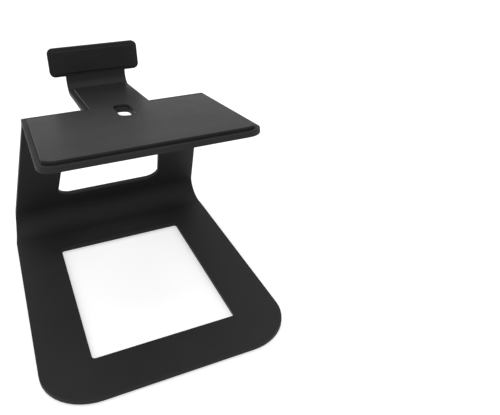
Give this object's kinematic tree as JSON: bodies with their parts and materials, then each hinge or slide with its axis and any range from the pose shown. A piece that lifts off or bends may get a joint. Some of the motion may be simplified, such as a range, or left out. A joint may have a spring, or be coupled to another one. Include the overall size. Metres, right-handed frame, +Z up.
{
  "type": "desktop speaker stand",
  "caption": "Bent sheet steel desk stand with a tilted padded platform, a rear arm with an upright padded rest, and an open base plate.",
  "frame": {"origin": "middle of the footprint box, on the floor under the feet", "axes": "+Z up, -Y is the front, where the platform's free edge is, +Y the rear, where the rest stands, and +X is the right seen from the front"},
  "size_m": [0.19, 0.242, 0.1893],
  "materials": {
    "powder_coat": "fine matte powder coat",
    "pad_rubber": "smooth matte",
    "adhesive_film": "dull film",
    "foot_rubber": "matte"
  },
  "bodies": {
    "root": {"frame": "powder_coat", "platform_pad": "pad_rubber", "platform_pad_film": "adhesive_film", "rest_pad": "pad_rubber", "rest_pad_film": "adhesive_film", "foot_films": "adhesive_film", "foot_front_left": "foot_rubber", "foot_front_right": "foot_rubber", "foot_rear_left": "foot_rubber", "foot_rear_right": "foot_rubber"}
  },
  "joints": []
}
